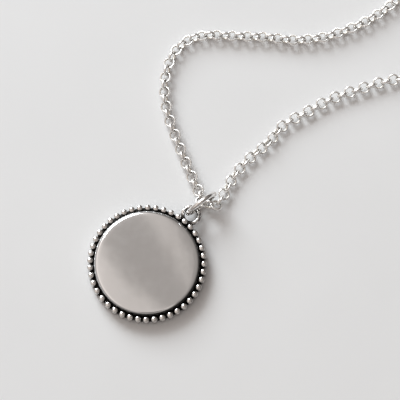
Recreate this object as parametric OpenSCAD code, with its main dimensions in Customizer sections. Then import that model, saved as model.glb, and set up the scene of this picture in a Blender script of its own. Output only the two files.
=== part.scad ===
// A round silver pendant with a polished face and a beaded rim, lying flat on its back.
// A ring stands in the loop on its rim, and the chain of round links runs through that ring.
// The origin is the middle of the flat back, +Z is up, and +Y is away from the viewer.
// All sizes are in millimetres.

/* [Medallion] */
// Width of the pendant across its beads
disc_d = 20; // [18:0.5:26]
// Width of the rim, from the edge of the raised face to the outside of the beads
rim_w = 1.1; // [1.1:0.05:1.4]
// Height of the polished face above the back
face_h = 3; // [2.7:0.1:3.6]
// Width of the level middle of the face
face_flat_d = 7; // [4:0.5:10]
// Radius of the face's slight fall from its level middle to its edge
face_curve = 60; // [40:5:100]
// Radius of the soft edge round the face
face_round = 0.7; // [0.4:0.1:1]
// Height of the floor of the dark channel between the face and the beads
channel_h = 1.2; // [0.8:0.1:1.6]
// Radius of the edge round the back
back_round = 0.3; // [0.1:0.1:0.4]

/* [Beads] */
// Number of beads round the rim
bead_count = 44; // [30:1:46]
// Width of one bead
bead_d = 1; // [0.7:0.05:1.05]
// Height of the top of a bead above the back
bead_h = 2.4; // [2.1:0.1:2.6]
// Radius of the shallow crown of a bead
bead_crown = 0.75; // [0.6:0.05:1.2]
// Radius of the soft edge between the crown of a bead and its side
bead_round = 0.12; // [0.06:0.02:0.2]
// Height of the foot of a bead above the back
bead_foot = 0.15; // [0.1:0.05:0.4]
// How far the beads at the left are crowded out of their even spacing, in degrees
bead_crowding = 3.5; // [0:0.5:4]

/* [Loop and ring] */
// Outer width of the small loop on the rim
loop_d = 3.5; // [3.4:0.05:3.65]
// Thickness of the loop's wire
loop_wire = 0.75; // [0.6:0.05:0.8]
// Direction of the loop from the middle of the face, in degrees
loop_angle = 48.5; // [48:0.5:52]
// Distance of the middle of the loop from the outside of the beads
loop_reach = 1.02; // [0.9:0.02:1.1]
// Height of the middle of the loop's wire
loop_h = 1.8; // [1.7:0.1:2]
// Outer width of the ring that stands in the loop
ring_d = 6.3; // [5.8:0.1:6.6]
// Thickness of the ring's wire
ring_wire = 0.85; // [0.6:0.05:0.9]
// Direction in which the ring points, in degrees
ring_heading = 36.5; // [34:0.5:39]
// Lean of the ring from upright towards the viewer, in degrees
ring_lean = 4; // [1:1:6]

/* [Chain] */
// Outer width of one round link
link_d = 2.13; // [2.08:0.01:2.2]
// Thickness of a link's wire, seen along the hole
link_wire = 0.33; // [0.25:0.01:0.35]
// Width of the same wire, which is rolled a little flat, seen from the side
link_band = 0.5; // [0.4:0.05:0.6]
// Play between two links
link_play = 0.17; // [0.12:0.01:0.2]
// Number of separate links on each side of the ring
link_count = 119; // [40:1:120]

/* [Clasp] */
// Thickness of the barrel clasp
clasp_d = 2.6; // [2.1:0.1:3.4]
// Radius of the edges round the barrel's ends
clasp_round = 0.5; // [0.2:0.1:0.8]
// Outer width of the eye at each end of the barrel
eye_d = 2.2; // [2.1:0.05:2.6]
// Thickness of the eye's wire
eye_wire = 0.4; // [0.3:0.05:0.45]

/* [Hidden] */
$fn = 32;

silver = "silver";
bright_silver = "gainsboro";

// Medallion
face_r = disc_d / 2 - rim_w;
bead_r = bead_d / 2;
bead_ring_r = disc_d / 2 - bead_r;
// The wall between the beads stands a little outside the middles of the beads
base_r = bead_ring_r + bead_r / 4;
// One bead stands in front of the loop. At the left the beads are a little crowded.
crowded_at = 198;
function bead_angle(i) = let (even = loop_angle + i * 360 / bead_count)
    even - bead_crowding * pow(max(0, cos(even - crowded_at)), 8);

// The loop, the ring and the chain follow the rim when the width of the pendant changes
loop_at = (disc_d / 2 + loop_reach) * [cos(loop_angle), sin(loop_angle)];
rim_shift = (disc_d / 2 - 10) * [cos(loop_angle), sin(loop_angle)];
ring_at = [9.05, 9.93] + rim_shift;
ring_mid_r = (ring_d - ring_wire) / 2;

// Chain. Two links in a row stand square to each other, with the play between their wires.
link_r = (link_d - link_wire) / 2;
link_side = (link_band - link_wire) / 2;
pitch = link_d - 2 * link_wire - link_play;

// The route of the chain, from one eye of the clasp, through the ring, to the other eye.
// The columns are x, y, lift above the resting height, and roll of the links in degrees.
ROUTE = [
    // From the upper eye of the clasp, round the back of the opening
    [166.5, 45.5, 0.3, 0], [165.5, 53, 0, 0], [162, 61, 0, 15], [153, 73, 0, 30], [140, 84, 0, 45],
    [125, 91, 0, 45], [109, 93.5, 0, 45], [93, 91, 0, 45], [78, 84, 0, 45], [66, 74, 0, 45],
    // Along the top
    [57, 63, 0, 45], [49.5, 53, 0, 40], [42.5, 46, 0, 25], [38.5, 43, 0, 18], [34.5, 41, 0, 15],
    [30, 39.5, 0, 15], [25, 39, 0, 15], [20, 39.5, 0, 15], [14.5, 39.7, 0, 15], [9.7, 39.8, 0, 18],
    // Down the left strand
    [6.3, 38.6, 0, 20], [4, 35.9, 0, 20], [2.9, 32, 0, 20], [3, 28, 0, 20], [4, 24, 0, 20],
    [5.5, 20, 0, 20], [7.05, 16.05, 0, 20],
    // Through the standing ring
    [8.8, 12.05, 0.2, 20], [8.9, 11.7, 0.35, 9], [9.05, 10.5, 0.85, -17], [11.45, 9.95, 0.67, -24],
    [11.9, 10.4, 0.3, 6], [13, 12.2, 0.05, 20],
    // Up the right strand and away to the right
    [14.5, 15, 0, 22], [17, 18, 0, 22], [20.5, 21, 0, 35], [23, 24, 0, 22], [26.5, 26, 0, 18],
    [31, 28.5, 0, 18], [36, 30.3, 0, 18], [42, 32, 0, 25], [50, 32.5, 0, 40], [57, 28.5, 0, 45],
    // Round the front of the opening, to the lower eye of the clasp
    [62.5, 20, 0, 45], [69, 10, 0, 45], [79, 0, 0, 45], [92, -7, 0, 45], [107, -10, 0, 45],
    [123, -9, 0, 45], [138, -3, 0, 30], [151, 7, 0, 15], [161.5, 19.5, 0, 0], [165.5, 26.5, 0, 0],
    [166.5, 33, 0.3, 0]];
// The row of the route that lies inside the ring, and the steps of the curve from row to row
RING_ROW = 29;
STEPS = 12;

// A smooth curve through the rows b and c of the route, with a and d as their neighbours
function blend(a, b, c, d, t) =
    b + (c - a) * t / 2 + (2 * a - 5 * b + 4 * c - d) * t * t / 2 + (3 * b - a - 3 * c + d) * t * t * t / 2;
function row(i) = ROUTE[min(max(i, 0), len(ROUTE) - 1)];
CURVE = concat(
    [for (i = [0 : len(ROUTE) - 2], k = [0 : STEPS - 1])
        blend(row(i - 1), row(i), row(i + 1), row(i + 2), k / STEPS)],
    [row(len(ROUTE) - 1)]);

// The height of the chain's middle where its steeper links stand on the surface
function axis_h(roll) = let (c = cos(roll), s = abs(sin(roll)))
    max(link_r * c + link_side * s, link_r * s + link_side * c) + link_wire / 2;
PATH = [for (q = CURVE) [q.x + rim_shift.x, q.y + rim_shift.y, axis_h(q[3]) + max(q.z, 0)]];

// The length of the chain from the start of the route to each point of the path
function step_after(i) = i + 1 < len(PATH) ? norm(PATH[i + 1] - PATH[i]) : 0;
LENGTHS = [for (i = 0, s = 0; i < len(PATH); s = s + step_after(i), i = i + 1) s];
function column(k) = [for (i = [0 : len(PATH) - 1]) [LENGTHS[i], PATH[i][k]]];
XS = column(0);
YS = column(1);
ZS = column(2);
ROLLS = [for (i = [0 : len(PATH) - 1]) [LENGTHS[i], CURVE[i][3]]];
function at(s) = [lookup(s, XS), lookup(s, YS), lookup(s, ZS)];

ring_s = LENGTHS[RING_ROW * STEPS];
total_s = LENGTHS[len(LENGTHS) - 1];
// Odd numbers of links on both sides, so that the last link of each side stands upright
left_links = 2 * floor((ring_s / pitch - 1) / 2) + 1;
right_links = 2 * floor(((total_s - ring_s) / pitch - 1) / 2) + 1;

// Clasp, between the last links of the two sides, with its barrel along the Y axis
left_end = at(ring_s - left_links * pitch);
right_end = at(ring_s + right_links * pitch);
eye_r = (eye_d - eye_wire) / 2;
eye_step = link_r + eye_r - (link_wire + eye_wire) / 2 - link_play;
clasp_h = clasp_d / 2;
eye_top_y = left_end.y - eye_step;
eye_low_y = right_end.y + eye_step;
barrel_l = eye_top_y - eye_low_y - 2 * eye_r;

// A round wire bent to a full circle, lying flat
module wire_ring(d, wire) {
    rotate_extrude() translate([(d - wire) / 2, 0]) circle(d = wire);
}

// One link lying flat: a slightly flattened wire bent to a full circle
module link_ring() {
    rotate_extrude() translate([link_r, 0]) {
        square([link_wire, 2 * link_side], center = true);
        for (side = [-link_side, link_side]) translate([0, side]) circle(d = link_wire);
    }
}

// Half of the outline of a body that is turned, with one rounded outer corner at the top
module rounded_top(r, h, rounding) {
    square([r - rounding, h]);
    square([r, h - rounding]);
    translate([r - rounding, h - rounding]) circle(rounding);
}

// Half of the outline of a body with a crowned top: level as far as flat, then a fall, then a soft edge
module crowned_top(r, h, flat, curve, rounding, pieces) {
    edge_r = r - rounding;
    fall = edge_r - flat;
    edge_h = h - curve + sqrt(pow(curve - rounding, 2) - fall * fall);
    crown_r = flat + fall * curve / (curve - rounding);
    intersection() {
        union() {
            if (flat > 0) square([flat, h]);
            if (h > curve) square([r, h - curve]);
            translate([flat, h - curve]) circle(curve, $fn = pieces);
        }
        union() {
            square([crown_r, h]);
            square([r, edge_h]);
            translate([edge_r, edge_h]) circle(rounding);
        }
    }
}

module bead() {
    translate([0, 0, bead_foot]) rotate_extrude()
        crowned_top(bead_r, bead_h - bead_foot, 0, bead_crown, bead_round, 64);
}

module medallion() {
    color(bright_silver) {
        rotate_extrude() {
            crowned_top(face_r, face_h, face_flat_d / 2, face_curve, face_round, 720);
            translate([0, channel_h]) mirror([0, 1]) rounded_top(base_r, channel_h, back_round);
        }
        for (i = [0 : bead_count - 1])
            rotate(bead_angle(i)) translate([bead_ring_r, 0]) bead();
        translate([loop_at.x, loop_at.y, loop_h]) wire_ring(loop_d, loop_wire);
    }
}

module jump_ring() {
    color(bright_silver)
        translate([ring_at.x, ring_at.y, ring_mid_r * cos(ring_lean) + ring_wire / 2])
            rotate([90 + ring_lean, 0, ring_heading]) wire_ring(ring_d, ring_wire);
}

// Link number i, counted from the ring: every other link is turned by a quarter
module chain_link(i) {
    s = ring_s + i * pitch;
    along = at(s + pitch / 2) - at(s - pitch / 2);
    heading = atan2(along.y, along.x);
    slope = atan2(along.z, norm([along.x, along.y]));
    roll = lookup(s, ROLLS) + (i % 2 == 0 ? 0 : 90);
    translate(at(s)) rotate([0, -slope, heading]) rotate([roll, 0, 0]) link_ring();
}

module chain_left() {
    color(silver) for (i = [-link_count : 0]) chain_link(i);
}

module chain_right() {
    color(silver) for (i = [1 : link_count]) chain_link(i);
}

// The rest of the chain as one plain tube as thick as a link, from length a to length b
TUBE_SIDES = 8;
// Distance from ring to ring of the tube
tube_step = 2.5 * link_d;
tube_r = link_d / 2;
module chain_tube(a, b) {
    rings = ceil((b - a) / tube_step);
    places = [for (i = [0 : rings]) a + (b - a) * i / rings];
    points = [for (s = places)
        let (along = at(s + pitch / 2) - at(s - pitch / 2), heading = atan2(along.y, along.x), p = at(s))
        for (k = [0 : TUBE_SIDES - 1])
            let (turn = (k + 0.5) * 360 / TUBE_SIDES, out = tube_r * cos(turn))
            [p.x - out * sin(heading), p.y + out * cos(heading), tube_r + tube_r * sin(turn)]];
    sides = [for (i = [0 : rings - 1], k = [0 : TUBE_SIDES - 1])
        let (n = (k + 1) % TUBE_SIDES, j = i * TUBE_SIDES)
        [j + k, j + n, j + n + TUBE_SIDES, j + k + TUBE_SIDES]];
    first_end = [for (k = [TUBE_SIDES - 1 : -1 : 0]) k];
    last_end = [for (k = [0 : TUBE_SIDES - 1]) rings * TUBE_SIDES + k];
    polyhedron(points, concat(sides, [first_end], [last_end]));
}

// Each tube runs from just clear of the last separate link to the middle of the clasp's link
clear = link_d / 2 + link_play;
module back_chain_left() {
    color(silver) chain_tube(ring_s - left_links * pitch, ring_s - link_count * pitch - clear);
}

module back_chain_right() {
    color(silver) chain_tube(ring_s + link_count * pitch + clear, ring_s + right_links * pitch);
}

module clasp() {
    color(bright_silver) {
        translate([left_end.x, eye_low_y + eye_r, clasp_h]) rotate([-90, 0, 0]) rotate_extrude() {
            rounded_top(clasp_d / 2, barrel_l, clasp_round);
            translate([0, barrel_l]) mirror([0, 1]) rounded_top(clasp_d / 2, barrel_l, clasp_round);
        }
        translate([left_end.x, eye_top_y, clasp_h]) wire_ring(eye_d, eye_wire);
        translate([right_end.x, eye_low_y, clasp_h]) wire_ring(eye_d, eye_wire);
    }
}

medallion();
jump_ring();
chain_left();
chain_right();
back_chain_left();
back_chain_right();
clasp();
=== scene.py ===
"""A round silver disc pendant with a beaded rim, lying on its back with its ring and its chain of links."""
from math import acos, asin, atan2, cos, degrees, hypot, pi, radians, sin, tau

import bmesh
import bpy
from mathutils import Matrix, Vector


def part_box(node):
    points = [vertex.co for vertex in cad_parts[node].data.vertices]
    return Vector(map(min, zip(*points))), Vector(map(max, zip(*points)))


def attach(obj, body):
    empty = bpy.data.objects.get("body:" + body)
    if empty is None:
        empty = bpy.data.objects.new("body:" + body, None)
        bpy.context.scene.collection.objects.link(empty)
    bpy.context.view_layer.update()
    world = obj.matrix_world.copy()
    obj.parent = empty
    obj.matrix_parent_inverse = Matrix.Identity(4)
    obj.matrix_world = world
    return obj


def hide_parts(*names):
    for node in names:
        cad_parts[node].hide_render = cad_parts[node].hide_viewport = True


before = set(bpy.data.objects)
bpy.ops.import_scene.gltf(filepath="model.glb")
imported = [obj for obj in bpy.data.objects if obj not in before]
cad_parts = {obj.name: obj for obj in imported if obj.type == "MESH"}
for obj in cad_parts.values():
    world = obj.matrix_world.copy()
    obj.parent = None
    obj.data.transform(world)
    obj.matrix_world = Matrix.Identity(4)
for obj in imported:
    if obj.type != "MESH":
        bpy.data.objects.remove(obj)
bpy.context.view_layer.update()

# Sizes of the medallion, in metres. The face is level in its middle and falls off in a wide curve.
DISC_R = -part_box("medallion")[0].x
FACE_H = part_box("medallion")[1].z
RIM_W = 0.0011
FACE_R = DISC_R - RIM_W
FACE_ROUND = 0.0007
FACE_FLAT_R = 0.0035
FACE_CURVE = 0.06
CHANNEL_H = 0.0012
CHANNEL_CORNER = 0.0001
BACK_ROUND = 0.0003
BACK_INSET = 0.975

# Sizes of the beads. They stand a little closer round the angle CROWDED_AT.
BEAD_COUNT = 44
BEAD_R = 0.0005
BEAD_H = 0.0024
BEAD_CROWN = 0.00075
BEAD_ROUND = 0.00012
BEAD_FOOT = 0.00015
BEAD_FOOT_TAPER = 0.93
BEAD_FOOT_RISE = BEAD_R * 0.1
BEAD_RING_R = DISC_R - BEAD_R
BEAD_CROWDING = radians(3.5)
CROWDED_AT = radians(198)
CROWDED_POWER = 8
BASE_R = BEAD_RING_R + BEAD_R / 4

# Sizes and places of the soldered loop and the ring that stands in it
LOOP_D = 0.0035
LOOP_WIRE = 0.00075
LOOP_ANGLE = radians(48.5)
LOOP_REACH = DISC_R + 0.00102
LOOP_AT = (LOOP_REACH * cos(LOOP_ANGLE), LOOP_REACH * sin(LOOP_ANGLE))
LOOP_H = 0.0018
RING_D = 0.0063
RING_WIRE = 0.00085
RING_AT = (0.00905, 0.00993)
RING_HEADING = radians(36.5)
RING_LEAN = radians(4)

# Sizes of the chain. Its links are counted both ways from the one that passes through the ring.
LINK_D = 0.00213
LINK_WIRE = 0.00033
LINK_BAND = 0.0005
LINK_PLAY = 0.00017
LINK_R = (LINK_D - LINK_WIRE) / 2
LINK_SIDE = (LINK_BAND - LINK_WIRE) / 2
PITCH = LINK_D - 2 * LINK_WIRE - LINK_PLAY
FRONT_LINKS = 119
LEFT_LINKS = 181
RIGHT_LINKS = 157

# Sizes of the clasp
CLASP_D = 0.0026
CLASP_ROUND = 0.0005
CLASP_END_INSET = 0.9
EYE_D = 0.0022
EYE_WIRE = 0.0004

# The chain's route, from one eye of the clasp, through the ring, to the other eye.
# The columns are x, y, lift above the resting height, and roll of the links in degrees.
ROUTE = [
    # From the upper eye of the clasp, round the back of the opening
    (0.1665, 0.0455, 0.0003, 0), (0.1655, 0.053, 0, 0), (0.162, 0.061, 0, 15), (0.153, 0.073, 0, 30),
    (0.14, 0.084, 0, 45), (0.125, 0.091, 0, 45), (0.109, 0.0935, 0, 45), (0.093, 0.091, 0, 45),
    (0.078, 0.084, 0, 45), (0.066, 0.074, 0, 45),
    # Along the top
    (0.057, 0.063, 0, 45), (0.0495, 0.053, 0, 40), (0.0425, 0.046, 0, 25), (0.0385, 0.043, 0, 18),
    (0.0345, 0.041, 0, 15), (0.03, 0.0395, 0, 15), (0.025, 0.039, 0, 15), (0.02, 0.0395, 0, 15),
    (0.0145, 0.0397, 0, 15), (0.0097, 0.0398, 0, 18),
    # Down the left strand
    (0.0063, 0.0386, 0, 20), (0.004, 0.0359, 0, 20), (0.0029, 0.032, 0, 20), (0.003, 0.028, 0, 20),
    (0.004, 0.024, 0, 20), (0.0055, 0.02, 0, 20), (0.00705, 0.01605, 0, 20),
    # Through the standing ring
    (0.0088, 0.01205, 0.0002, 20), (0.0089, 0.0117, 0.00035, 9), (0.00905, 0.0105, 0.00085, -17),
    (0.01145, 0.00995, 0.00067, -24), (0.0119, 0.0104, 0.0003, 6), (0.013, 0.0122, 0.00005, 20),
    # Up the right strand and away to the right
    (0.0145, 0.015, 0, 22), (0.017, 0.018, 0, 22), (0.0205, 0.021, 0, 35), (0.023, 0.024, 0, 22),
    (0.0265, 0.026, 0, 18), (0.031, 0.0285, 0, 18), (0.036, 0.0303, 0, 18), (0.042, 0.032, 0, 25),
    (0.05, 0.0325, 0, 40), (0.057, 0.0285, 0, 45),
    # Round the front of the opening, to the lower eye of the clasp
    (0.0625, 0.02, 0, 45), (0.069, 0.01, 0, 45), (0.079, 0, 0, 45), (0.092, -0.007, 0, 45),
    (0.107, -0.01, 0, 45), (0.123, -0.009, 0, 45), (0.138, -0.003, 0, 30), (0.151, 0.007, 0, 15),
    (0.1615, 0.0195, 0, 0), (0.1655, 0.0265, 0, 0), (0.1665, 0.033, 0.0003, 0)]
RING_ROW = 29
STEPS_PER_ROW = 12

# Where the black finish, the painted shade and the dull finish begin and are full, in metres. Above
# BEAD_BRIGHT_H the beads are bright.
# The channel's black is centred a little left of the middle, so it reaches further in on the right side as
# painted shade
CHANNEL_BLACK_MIDDLE_FOR_RIGHT_SHADE = (-0.00009, 0.00004)
CHANNEL_BLACK = (FACE_R - 0.0003, FACE_R - 0.00011)
WALL_BLACK = (0.0001, 0.0004)
BEAD_BRIGHT_H = 0.0022
BEAD_VALLEY_H = 0.0018
BEAD_INSIDE_H = 0.0019
BEAD_INSIDE = (BEAD_RING_R - 0.00025, BEAD_RING_R - 0.0004)
# Painted shade at the beads' feet, just above the surface
BEAD_FOOT_SHADE = (0.0003, 0.00018)
BEAD_WALL_DULL = (0.0019, 0.0014)
LOOP_INNER_BLACK = (LOOP_D / 2 - LOOP_WIRE * 0.55, LOOP_D / 2 - LOOP_WIRE * 0.9)
SOLDER_BLACK = (DISC_R + 0.0004, DISC_R)
LOOP_NEAR_SIDE_W = 0.002

# The radius of a very slight crown over the face's level middle, which is only bump
FACE_WAVE = 0.08

# The window, the room and the floor
WINDOW_SIZE = (0.6, 0.75)
WINDOW_POWER = 15.1
WINDOW_COLOUR = (0.9, 0.965, 1.0)
WINDOW_WAY = (-0.5, 0.88, 0.64)
WINDOW_DISTANCE = 1.2
ROOM_COLOUR = (1.0, 0.91, 0.85, 1)
FLOOR_HALF_WIDTH = 3.0

# The camera, at the photo's angle: 78 degrees above the surface
VIEW_TARGET = Vector((0.008843, 0.011226, 0))
VIEW_DISTANCE = 0.35
VIEW_ELEVATION = radians(78)
VIEW_LENS = 186.48
SENSOR = 36


# Shaping

def arc(middle, radius, start, end, pieces):
    """Points of an arc in an outline of (radius, height), from the start to the end angle in degrees."""
    angles = [radians(start + (end - start) * i / pieces) for i in range(pieces + 1)]
    return [(middle[0] + radius * cos(a), middle[1] + radius * sin(a)) for a in angles]


def turned(outline, steps):
    """A closed body turned round the Z axis, from an outline that starts and ends on that axis."""
    body = bmesh.new()
    points = [body.verts.new((r, 0, z)) for r, z in outline]
    edges = [body.edges.new(pair) for pair in zip(points, points[1:])]
    bmesh.ops.spin(body, geom=points + edges, cent=(0, 0, 0), axis=(0, 0, 1), dvec=(0, 0, 0),
                   angle=tau, steps=steps, use_merge=True)
    bmesh.ops.remove_doubles(body, verts=body.verts, dist=1e-7)
    bmesh.ops.recalc_face_normals(body, faces=body.faces)
    return body


def wire_ring(width, wire, round_sides, wire_sides, band=None):
    """A wire bent to a full circle, lying flat round the Z axis.

    A band is the height of a wire that is taller than it is thick. The mesh keeps how far each point is
    on the inner side, and how far it is where the next link or ring bears on it.
    """
    body = bmesh.new()
    upright = Matrix.Translation(((width - wire) / 2, 0, 0)) @ Matrix.Rotation(pi / 2, 4, "X")
    turn = Matrix.Rotation(pi / wire_sides if band else 0, 4, "Z")
    bmesh.ops.create_circle(body, segments=wire_sides, radius=wire / 2, matrix=upright @ turn)
    for point in body.verts:
        if band and abs(point.co.z) > wire / 8:
            point.co.z += (band - wire) / 2 if point.co.z > 0 else (wire - band) / 2
    bmesh.ops.spin(body, geom=body.verts[:] + body.edges[:], cent=(0, 0, 0), axis=(0, 0, 1),
                   dvec=(0, 0, 0), angle=tau, steps=round_sides, use_merge=True)
    inner = body.verts.layers.float.new("inner")
    contact = body.verts.layers.float.new("contact")
    for point in body.verts:
        point[inner] = min(max((width / 2 - point.co.xy.length) / wire, 0), 1)
        point[contact] = point[inner] * abs(point.co.x) / point.co.xy.length
    bmesh.ops.recalc_face_normals(body, faces=body.faces)
    return body


def as_mesh(body, name):
    """The finished mesh of a body, with smooth shading."""
    for face in body.faces:
        face.smooth = True
    mesh = bpy.data.meshes.new(name)
    body.to_mesh(mesh)
    body.free()
    return mesh


def joined(parts):
    """One body of many copies, from pairs of a mesh and its place."""
    body = bmesh.new()
    for mesh, place in parts:
        known = len(body.verts)
        body.from_mesh(mesh)
        bmesh.ops.transform(body, matrix=place, verts=body.verts[:][known:])
    return body


def piece(name, body, material, slot, *nodes):
    """A finished piece of the necklace, in place of its plain node."""
    obj = bpy.data.objects.new(name, as_mesh(body, name))
    bpy.context.scene.collection.objects.link(obj)
    obj.data.materials.append(material)
    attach(obj, "root")
    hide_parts(*nodes)


# The chain's route, as a smooth curve through its rows

def blend(a, b, c, d, t):
    """A smooth curve from b to c, with a and d as their neighbours."""
    return (b + (c - a) * t / 2 + (2 * a - 5 * b + 4 * c - d) * t * t / 2
            + (3 * b - a - 3 * c + d) * t * t * t / 2)


def curve():
    """Points along the route as (x, y, lift, roll)."""
    rows = [Vector(row) for row in ROUTE]
    rows = [rows[0]] + rows + [rows[-1]]
    points = [blend(*rows[i:i + 4], k / STEPS_PER_ROW)
              for i in range(len(rows) - 3) for k in range(STEPS_PER_ROW)]
    return points + [rows[-1]]


def resting_height(roll):
    """The height of the chain's middle where its steeper links stand on the surface."""
    c, s = cos(radians(roll)), abs(sin(radians(roll)))
    return max(LINK_R * c + LINK_SIDE * s, LINK_R * s + LINK_SIDE * c) + LINK_WIRE / 2


CURVE = curve()
PATH = [Vector((q[0], q[1], resting_height(q[3]) + max(q[2], 0))) for q in CURVE]
LENGTHS = [0.0]
for before, after in zip(PATH, PATH[1:]):
    LENGTHS.append(LENGTHS[-1] + (after - before).length)
RING_S = LENGTHS[RING_ROW * STEPS_PER_ROW]


def along(s):
    """The place and the roll of the chain at the length s from the route's start."""
    i = max(k for k in range(len(PATH) - 1) if LENGTHS[k] <= s or k == 0)
    t = (s - LENGTHS[i]) / (LENGTHS[i + 1] - LENGTHS[i])
    return PATH[i].lerp(PATH[i + 1], t), CURVE[i][3] + (CURVE[i + 1][3] - CURVE[i][3]) * t


def link_place(i):
    """The place of link i, counted from the ring: every other link is turned by a quarter."""
    s = RING_S + i * PITCH
    middle, roll = along(s)
    way = along(s + PITCH / 2)[0] - along(s - PITCH / 2)[0]
    heading = atan2(way.y, way.x)
    slope = atan2(way.z, hypot(way.x, way.y))
    turn = radians(roll + 90 * (i % 2))
    return (Matrix.Translation(middle) @ Matrix.Rotation(heading, 4, "Z")
            @ Matrix.Rotation(-slope, 4, "Y") @ Matrix.Rotation(turn, 4, "X"))


# Finishes

class Finish:
    """A material under way, with the nodes that its finish is worked out by."""

    def __init__(self, name, roughness, metallic=1.0):
        self.material = bpy.data.materials.new(name)
        self.material.use_nodes = True
        self.nodes = self.material.node_tree.nodes
        self.links = self.material.node_tree.links
        self.shader = self.nodes["Principled BSDF"]
        self.shader.inputs["Metallic"].default_value = metallic
        self.shader.inputs["Roughness"].default_value = roughness
        self.place = self.nodes.new("ShaderNodeTexCoord").outputs["Object"]

    def add(self, kind, settings, *inputs):
        """A new node with its settings, and its inputs in order as values or as other nodes' outputs."""
        node = self.nodes.new(kind)
        for name, value in settings.items():
            setattr(node, name, value)
        for socket, value in zip(node.inputs, inputs):
            if isinstance(value, bpy.types.NodeSocket):
                self.links.new(value, socket)
            else:
                socket.default_value = value
        return node

    def math(self, operation, *values):
        """The result of one sum."""
        return self.add("ShaderNodeMath", {"operation": operation}, *values).outputs[0]

    def between(self, value, start, end):
        """0 below start and 1 above end, with a soft change."""
        soft = {"interpolation_type": "SMOOTHSTEP"}
        return self.add("ShaderNodeMapRange", soft, value, start, end, 0.0, 1.0).outputs[0]

    def ranged(self, value, start, end, low, high):
        """Low at start and high at end, with an even change."""
        return self.add("ShaderNodeMapRange", {}, value, start, end, low, high).outputs[0]

    def stored(self, name):
        """A value that the mesh keeps for each point."""
        return self.add("ShaderNodeAttribute", {"attribute_name": name}).outputs["Fac"]

    def noise(self, scale, detail=3.0, stretch=(1, 1, 1)):
        """Cloudy variation from 0 to 1, with its scale in patches per metre."""
        mapping = self.add("ShaderNodeMapping", {}, self.place)
        mapping.inputs["Scale"].default_value = stretch
        node = self.add("ShaderNodeTexNoise", {}, mapping.outputs[0])
        node.inputs["Scale"].default_value = scale
        node.inputs["Detail"].default_value = detail
        return node.outputs[0]

    def mix(self, share, first, second):
        """A colour between two colours."""
        node = self.add("ShaderNodeMix", {"data_type": "RGBA"})
        for name, value in (("Factor_Float", share), ("A_Color", first), ("B_Color", second)):
            socket = next(s for s in node.inputs if s.identifier == name)
            if isinstance(value, bpy.types.NodeSocket):
                self.links.new(value, socket)
            else:
                socket.default_value = value
        return next(s for s in node.outputs if s.identifier == "Result_Color")

    def set(self, socket, value):
        """One of the material's own inputs."""
        self.links.new(value, self.shader.inputs[socket])

    def bump(self, height, distance, strength=1.0, under=None):
        """Small relief of a height, on top of other relief if there is some under it."""
        node = self.add("ShaderNodeBump", {})
        node.inputs["Strength"].default_value = strength
        node.inputs["Distance"].default_value = distance
        self.links.new(height, node.inputs["Height"])
        if under is not None:
            self.links.new(under, node.inputs["Normal"])
        return node.outputs[0]


def grey(value, warmth=0.0):
    """A silver grey, a little warmer or cooler."""
    return (value * (1 + warmth), value, value * (1 - warmth), 1)


def radius_and_height(finish, middle=(0, 0)):
    """Distance from an upright axis and height above the surface, from the piece's own coordinates."""
    x, y, z = finish.add("ShaderNodeSeparateXYZ", {}, finish.place).outputs
    x = finish.math("SUBTRACT", x, middle[0])
    y = finish.math("SUBTRACT", y, middle[1])
    squares = finish.math("ADD", finish.math("MULTIPLY", x, x), finish.math("MULTIPLY", y, y))
    return finish.math("SQRT", squares), z


def disc_finish():
    """Polished silver face with faint clouds and hairlines, blackened in the channel and down the wall, with
    painted shade on the channel's right side.
    """
    finish = Finish("polished_disc", 0.2)
    radius, height = radius_and_height(finish)
    silver = finish.mix(finish.noise(330, 2.0), grey(0.87, -0.01), grey(0.95, -0.02))

    # Black in the channel, a little worn off in places, and down the wall but not on the back; on the right
    # side the black reaches a little further in, which is painted shade
    in_channel = finish.between(radius_and_height(finish, CHANNEL_BLACK_MIDDLE_FOR_RIGHT_SHADE)[0], *CHANNEL_BLACK)
    worn = finish.between(finish.noise(2600, 4.0), 0.62, 0.8)
    kept = finish.math("SUBTRACT", 1.0, finish.math("MULTIPLY", worn, 0.25))
    black = finish.math("MULTIPLY", finish.math("MULTIPLY", in_channel, kept),
                        finish.between(height, *WALL_BLACK))
    finish.set("Base Color", finish.mix(black, silver, grey(0.03, 0.08)))
    polish = finish.ranged(finish.noise(900, 3.0), 0.3, 0.7, 0.1, 0.15)
    finish.set("Roughness", finish.math("ADD", polish, finish.math("MULTIPLY", black, 0.3)))

    # The very slight crown, with the unevenness of polishing and fine hairlines on it
    inner = finish.math("MINIMUM", radius, FACE_FLAT_R)
    outer = finish.math("MAXIMUM", finish.math("SUBTRACT", radius, FACE_FLAT_R), 0.0)
    crown = finish.math("ADD", finish.math("DIVIDE", finish.math("MULTIPLY", inner, inner), -2 * FACE_WAVE),
                        finish.math("MULTIPLY", outer, -FACE_FLAT_R / FACE_WAVE))
    waves = finish.bump(finish.noise(210, 2.0), 0.00004, 1.0, finish.bump(crown, 1.0))
    finish.set("Normal", finish.bump(finish.noise(9000, 2.0, (1, 0.06, 1)), 0.0000015, 0.4, waves))
    return finish.material


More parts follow.
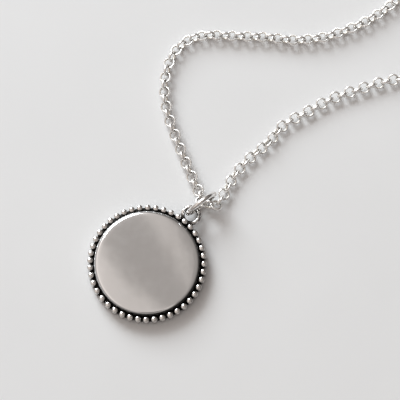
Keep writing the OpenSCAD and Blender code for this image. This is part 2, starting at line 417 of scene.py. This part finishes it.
def bead_finish():
    """Bright silver beads, blackened in the valleys between them and towards the channel, with painted shade
    at their feet just above the surface.
    """
    finish = Finish("blackened_beads", 0.15)
    radius, height = radius_and_height(finish)
    valley = finish.math("MULTIPLY", finish.between(finish.stored("across"), 0.7, 0.9),
                         finish.between(height, BEAD_BRIGHT_H, BEAD_VALLEY_H))
    inside = finish.math("MULTIPLY", finish.between(radius, *BEAD_INSIDE),
                         finish.between(height, BEAD_BRIGHT_H, BEAD_INSIDE_H))
    # Painted shade: black at the very foot of each bead, just above the surface
    painted_foot_shade = finish.between(height, *BEAD_FOOT_SHADE)
    patches = finish.math("MULTIPLY", finish.between(finish.noise(1900, 3.0), 0.5, 0.75), 0.25)
    black = finish.math("MAXIMUM", finish.math("MAXIMUM", valley, inside),
                        finish.math("MAXIMUM", painted_foot_shade, patches))
    silver = finish.mix(finish.noise(1500, 3.0), grey(0.74, 0.03), grey(0.93, 0.01))
    finish.set("Base Color", finish.mix(finish.math("MULTIPLY", black, 0.97), silver, grey(0.03, 0.1)))
    wall = finish.between(height, *BEAD_WALL_DULL)
    finish.set("Roughness", finish.math("ADD", finish.math("MULTIPLY", wall, 0.15), 0.12))
    finish.set("Normal", finish.bump(finish.noise(4000, 2.0), 0.00003, 0.5))
    return finish.material


def loop_finish():
    """Silver that is blackened inside the loop and where the solder meets the rim."""
    finish = Finish("darkened_loop", 0.16)
    inner_wall = finish.between(radius_and_height(finish, LOOP_AT)[0], *LOOP_INNER_BLACK)
    solder = finish.between(radius_and_height(finish)[0], *SOLDER_BLACK)
    x, y = finish.add("ShaderNodeSeparateXYZ", {}, finish.place).outputs[:2]
    middle = LOOP_AT[0] - LOOP_AT[1]
    # More of the black patches lie towards the loop's lower right side, where x minus y is larger
    near_side = finish.between(finish.math("SUBTRACT", x, y), middle, middle + LOOP_NEAR_SIDE_W)
    spread = finish.math("ADD", finish.noise(1500, 3.0), finish.math("MULTIPLY", near_side, 0.12))
    patches = finish.math("MULTIPLY", finish.between(spread, 0.54, 0.62), 0.85)
    black = finish.math("MAXIMUM", finish.math("MAXIMUM", inner_wall, solder), patches)
    silver = finish.mix(finish.noise(1800, 4.0), grey(0.7, 0.03), grey(0.93, 0.01))
    finish.set("Base Color", finish.mix(finish.math("MULTIPLY", black, 0.96), silver, grey(0.02, 0.1)))
    finish.set("Roughness", finish.math("ADD", finish.math("MULTIPLY", black, 0.25), 0.13))
    finish.set("Normal", finish.bump(finish.noise(2500, 2.0), 0.00008, 0.6))
    return finish.material


def wire_finish(name, low, high, roughness, tarnish_and_bounce_light):
    """Bright drawn silver wire, creamy on its inner side from tarnish and painted warm bounced light, with
    painted shade where the next link bears on it.
    """
    finish = Finish(name, roughness)
    silver = finish.mix(finish.noise(1400, 4.0), grey(low, 0.03), grey(high, 0.01))
    # The creamy inner side is partly tarnish and partly painted warm light, bounced between the links
    inner_tarnish_and_bounce_light = finish.math("MULTIPLY", finish.between(finish.stored("inner"), 0.45, 0.9), tarnish_and_bounce_light)
    creamy_tarnish_and_bounce_light = finish.mix(inner_tarnish_and_bounce_light, silver, (0.93, 0.89, 0.82, 1))
    # Painted shade where the next link or ring bears on this one
    painted_contact_shade = finish.math("MULTIPLY", finish.between(finish.stored("contact"), 0.48, 0.75), 0.85)
    finish.set("Base Color", finish.mix(painted_contact_shade, creamy_tarnish_and_bounce_light, grey(0.08, 0.15)))
    worn = finish.ranged(finish.noise(2400, 3.0), 0.3, 0.7, roughness * 0.75, roughness * 1.3)
    finish.set("Roughness", finish.math("ADD", worn, finish.math("MULTIPLY", inner_tarnish_and_bounce_light, 0.15)))
    finish.set("Normal", finish.bump(finish.noise(6000, 3.0), 0.00001, 0.5))
    return finish.material


def floor_finish():
    """Smooth pale card with a faint mottle."""
    finish = Finish("pale_card", 0.6, 0.0)
    finish.shader.inputs["Specular IOR Level"].default_value = 0.25
    mottle = finish.noise(60, 4.0)
    finish.set("Base Color", finish.mix(mottle, (0.79, 0.79, 0.795, 1), (0.83, 0.83, 0.835, 1)))
    finish.set("Normal", finish.bump(finish.noise(1500, 4.0), 0.00003, 0.3))
    return finish.material


# Pieces

def build_disc():
    """The turned body: a slightly crowned face with a soft edge, a channel round it, and a flat back."""
    round_at = FACE_R - FACE_ROUND
    slope = asin((round_at - FACE_FLAT_R) / (FACE_CURVE - FACE_ROUND))
    face = [(0, FACE_H), (FACE_FLAT_R / 2, FACE_H)]
    face += arc((FACE_FLAT_R, FACE_H - FACE_CURVE), FACE_CURVE, 90, 90 - degrees(slope), 10)[:-1]
    round_h = FACE_H - FACE_CURVE + (FACE_CURVE - FACE_ROUND) * cos(slope)
    edge = arc((round_at, round_h), FACE_ROUND, 90 - degrees(slope), 0, 12)
    channel = [(FACE_R, CHANNEL_H + CHANNEL_CORNER), (FACE_R, CHANNEL_H), (BASE_R, CHANNEL_H)]
    back_edge = arc((BASE_R - BACK_ROUND, BACK_ROUND), BACK_ROUND, 0, -90, 5)
    back = [((BASE_R - BACK_ROUND) * BACK_INSET, 0), (DISC_R / 2, 0), (0, 0)]
    return turned(face + edge + channel + back_edge + back, 128)


def build_beads():
    """The upright beads with shallow crowns that stand round the rim."""
    round_at = BEAD_R - BEAD_ROUND
    edge = degrees(acos(round_at / (BEAD_CROWN - BEAD_ROUND)))
    round_h = BEAD_H - BEAD_CROWN + (BEAD_CROWN - BEAD_ROUND) * sin(radians(edge))
    outline = [(0, BEAD_FOOT), (BEAD_R * BEAD_FOOT_TAPER, BEAD_FOOT), (BEAD_R, BEAD_FOOT + BEAD_FOOT_RISE)]
    outline += arc((round_at, round_h), BEAD_ROUND, 0, edge, 3)
    outline += arc((0, BEAD_H - BEAD_CROWN), BEAD_CROWN, edge, 90, 5)[1:]
    body = turned(outline, 18)
    across = body.verts.layers.float.new("across")
    for point in body.verts:
        point[across] = abs(point.co.y) / BEAD_R
    bead = as_mesh(body, "bead")
    evenly = [LOOP_ANGLE + i * tau / BEAD_COUNT for i in range(BEAD_COUNT)]
    turns = [even - BEAD_CROWDING * max(0, cos(even - CROWDED_AT)) ** CROWDED_POWER for even in evenly]
    return joined((bead, Matrix.Rotation(turn, 4, "Z") @ Matrix.Translation((BEAD_RING_R, 0, 0)))
                  for turn in turns)


def build_loop():
    """The small flat loop that is soldered to the rim."""
    loop = as_mesh(wire_ring(LOOP_D, LOOP_WIRE, 48, 14), "loop")
    return joined([(loop, Matrix.Translation((*LOOP_AT, LOOP_H)))])


def build_ring():
    """The larger ring that stands nearly on edge in the loop."""
    ring = as_mesh(wire_ring(RING_D, RING_WIRE, 72, 18), "ring")
    height = (RING_D - RING_WIRE) / 2 * cos(RING_LEAN) + RING_WIRE / 2
    place = (Matrix.Translation((*RING_AT, height)) @ Matrix.Rotation(RING_HEADING, 4, "Z")
             @ Matrix.Rotation(pi / 2 + RING_LEAN, 4, "X"))
    return joined([(ring, place)])


def build_links(first, last):
    """The chain's links from the first to the last, counted from the ring."""
    return joined((LINK_MESH, link_place(i)) for i in range(first, last + 1))


def build_clasp():
    """A plain barrel with an eye at each end, through which the chain's last links run."""
    upper = along(RING_S - LEFT_LINKS * PITCH)[0]
    lower = along(RING_S + RIGHT_LINKS * PITCH)[0]
    eye_r = (EYE_D - EYE_WIRE) / 2
    eye_step = LINK_R + eye_r - (LINK_WIRE + EYE_WIRE) / 2 - LINK_PLAY
    top_y = upper.y - eye_step
    low_y = lower.y + eye_step
    length = top_y - low_y - 2 * eye_r
    side = CLASP_D / 2
    end_r = side - CLASP_ROUND
    outline = [(0, 0), (end_r * CLASP_END_INSET, 0)]
    outline += arc((end_r, CLASP_ROUND), CLASP_ROUND, -90, 0, 6)
    outline += arc((end_r, length - CLASP_ROUND), CLASP_ROUND, 0, 90, 6)
    outline += [(end_r * CLASP_END_INSET, length), (0, length)]
    barrel = as_mesh(turned(outline, 40), "barrel")
    eye = as_mesh(wire_ring(EYE_D, EYE_WIRE, 32, 10), "eye")
    lying = Matrix.Translation((upper.x, low_y + eye_r, side)) @ Matrix.Rotation(-pi / 2, 4, "X")
    return joined([(barrel, lying),
                   (eye, Matrix.Translation((upper.x, top_y, side))),
                   (eye, Matrix.Translation((lower.x, low_y, side)))])


LINK_MESH = as_mesh(wire_ring(LINK_D, LINK_WIRE, 14, 6, LINK_BAND), "link")
link_silver = wire_finish("bright_link_wire", 0.96, 0.99, 0.31, 0.8)
ring_silver = wire_finish("bright_ring_wire", 0.82, 0.95, 0.12, 0.5)

piece("disc", build_disc(), disc_finish(), "medallion_silver", "medallion")
piece("rim_beads", build_beads(), bead_finish(), "medallion_silver", "medallion")
piece("soldered_loop", build_loop(), loop_finish(), "medallion_silver", "medallion")
piece("standing_ring", build_ring(), ring_silver, "ring_silver", "jump_ring")
piece("left_links", build_links(-FRONT_LINKS, 0), link_silver, "chain_silver", "chain_left")
piece("right_links", build_links(1, FRONT_LINKS), link_silver, "chain_silver", "chain_right")
piece("back_left_links", build_links(-LEFT_LINKS, -FRONT_LINKS - 1),
      link_silver, "chain_silver", "back_chain_left")
piece("back_right_links", build_links(FRONT_LINKS + 1, RIGHT_LINKS),
      link_silver, "chain_silver", "back_chain_right")
piece("barrel_clasp", build_clasp(), ring_silver, "ring_silver", "clasp")


# Floor, light and camera

def lay_floor():
    """The pale surface that the necklace lies on."""
    body = bmesh.new()
    bmesh.ops.create_grid(body, x_segments=1, y_segments=1, size=FLOOR_HALF_WIDTH)
    floor = bpy.data.objects.new("floor", as_mesh(body, "floor"))
    bpy.context.scene.collection.objects.link(floor)
    floor.data.materials.append(floor_finish())


def hang_window():
    """One large soft light from the upper left, as high as the photo's shadows say."""
    light = bpy.data.lights.new("window", "AREA")
    light.shape = "RECTANGLE"
    light.size, light.size_y = WINDOW_SIZE
    light.energy = WINDOW_POWER
    light.color = WINDOW_COLOUR
    window = bpy.data.objects.new("window", light)
    bpy.context.scene.collection.objects.link(window)
    way = Vector(WINDOW_WAY).normalized()
    window.location = VIEW_TARGET + way * WINDOW_DISTANCE
    window.rotation_euler = way.to_track_quat("Z", "Y").to_euler()


def surround():
    """The soft warm room: brighter to the left and the back, dimmer to the right, low down and in front."""
    world = bpy.data.worlds.new("room")
    world.use_nodes = True
    bpy.context.scene.world = world
    nodes, links = world.node_tree.nodes, world.node_tree.links
    way = nodes.new("ShaderNodeTexCoord").outputs["Generated"]

    def towards(direction, start, end, low, high):
        """From low to high as the way turns to the direction: start and end are cosines of the angle."""
        dot = nodes.new("ShaderNodeVectorMath")
        dot.operation = "DOT_PRODUCT"
        links.new(way, dot.inputs[0])
        dot.inputs[1].default_value = Vector(direction).normalized()
        glow = nodes.new("ShaderNodeMapRange")
        glow.interpolation_type = "SMOOTHSTEP"
        links.new(dot.outputs["Value"], glow.inputs["Value"])
        for name, value in (("From Min", start), ("From Max", end), ("To Min", low), ("To Max", high)):
            glow.inputs[name].default_value = value
        return glow.outputs[0]

    def joined_by(operation, first, second):
        """Two values added or multiplied."""
        node = nodes.new("ShaderNodeMath")
        node.operation = operation
        links.new(first, node.inputs[0])
        links.new(second, node.inputs[1])
        return node.outputs[0]

    all_round = towards((0.731, 0.682, 0), -0.08, 0.03, 0.6, 0.38)
    right_patch = towards((0.85, 0.53, 0), 0.14, 0.24, 0, 0.17)
    left_wall = towards((-1, 0.1, 0.25), 0.38, 0.75, 0, 0.3)
    back_wall = towards((-0.5, 1, 0.5), 0.72, 0.95, 0, 0.4)
    low_gloom = towards((0, 0, 1), 0.2, 0.9, 0.36, 1)
    right_haze = towards((0.95, 0.3, 0), 0.205, 0.28, 1, 0.6)
    right_gloom = towards((0.95, 0.3, 0), 0.28, 0.6, 1, 0.85)
    front_gloom = towards((0.1, -1, 0), 0.85, 0.99, 1, 0.4)
    front_shade = towards((0.05, -0.62, 0.78), 0.965, 0.99, 1, 0.3)
    glow = joined_by("ADD", joined_by("ADD", all_round, right_patch),
                     joined_by("ADD", left_wall, back_wall))
    for gloom in (low_gloom, right_haze, right_gloom, front_gloom, front_shade):
        glow = joined_by("MULTIPLY", glow, gloom)
    links.new(glow, nodes["Background"].inputs["Strength"])
    nodes["Background"].inputs["Color"].default_value = ROOM_COLOUR


def stand_camera():
    """The camera, looking at the target from the front."""
    camera = bpy.data.cameras.new("camera")
    camera.sensor_width = SENSOR
    camera.lens = VIEW_LENS
    camera.clip_start = 0.01
    stand = bpy.data.objects.new("camera", camera)
    bpy.context.scene.collection.objects.link(stand)
    stand.location = VIEW_TARGET + VIEW_DISTANCE * Vector((0, -cos(VIEW_ELEVATION), sin(VIEW_ELEVATION)))
    stand.rotation_euler = (pi / 2 - VIEW_ELEVATION, 0, 0)
    bpy.context.scene.camera = stand


lay_floor()
hang_window()
surround()
stand_camera()
bpy.context.scene.view_settings.view_transform = "Standard"
